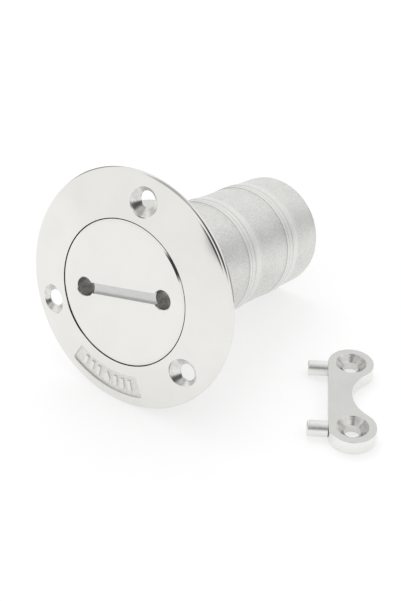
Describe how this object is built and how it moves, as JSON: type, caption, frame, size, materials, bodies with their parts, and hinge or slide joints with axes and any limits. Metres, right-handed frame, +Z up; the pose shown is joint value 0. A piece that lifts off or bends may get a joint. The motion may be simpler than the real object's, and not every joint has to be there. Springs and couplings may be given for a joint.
{
  "type": "deck fill cap",
  "caption": "Round deck filler with hose spigot, screwed cap on a retaining chain, and a loose two-pin key plate.",
  "frame": {"origin": "centre of the flange's seat plane, which is the centre of the three deck screws", "axes": "+Z up from the floor the set lies on; the neck lies back along +Y and 12.9 degrees down, so the cap faces -Y and a little up; +X toward the loose key plate. Deck frame out of the deck is (0, -0.9749, 0.2228)."},
  "size_m": [0.1433, 0.1157, 0.0926],
  "materials": {
    "flange_steel": "mirror polished, sunk pocket left matt",
    "neck_steel": "fine blasted satin",
    "cap_steel": "mirror polished",
    "key_steel": "polished",
    "plain_steel": "bright drawn wire",
    "seal_rubber": "matt black nitrile"
  },
  "bodies": {
    "filler": {"deck_flange": "flange_steel", "filler_neck": "neck_steel", "cross_bar": "plain_steel", "chain_link_01": "plain_steel", "chain_link_02": "plain_steel", "chain_link_03": "plain_steel", "chain_link_04": "plain_steel", "chain_link_05": "plain_steel", "chain_link_06": "plain_steel", "chain_link_07": "plain_steel", "chain_link_08": "plain_steel"},
    "chain_swivel": {"swivel_shackle": "plain_steel", "swivel_washer": "plain_steel"},
    "cap": {"cap": "cap_steel", "cap_seal": "seal_rubber", "swivel_stud": "plain_steel"},
    "key": {"key_plate": "key_steel", "key_pin_far": "key_steel", "key_pin_near": "key_steel"}
  },
  "joints": [
    {"name": "cap_rise", "type": "slide", "parent": "filler", "child": "chain_swivel", "axis": [0, -0.9749, 0.2228], "range_m": [0, 0.0045]},
    {"name": "cap_turn", "type": "hinge", "parent": "chain_swivel", "child": "cap", "pos_m": [0, 0, 0], "axis": [0, -0.9749, 0.2228], "range_deg": [0, 1080]},
    {"name": "key_lift", "type": "slide", "parent": "filler", "child": "key", "axis": [0, 0, 1], "range_m": [0, 0.06]}
  ],
  "couplings": [
    {"joint": "cap_rise", "follows": "cap_turn", "m_per_rad": 0.00023873}
  ]
}
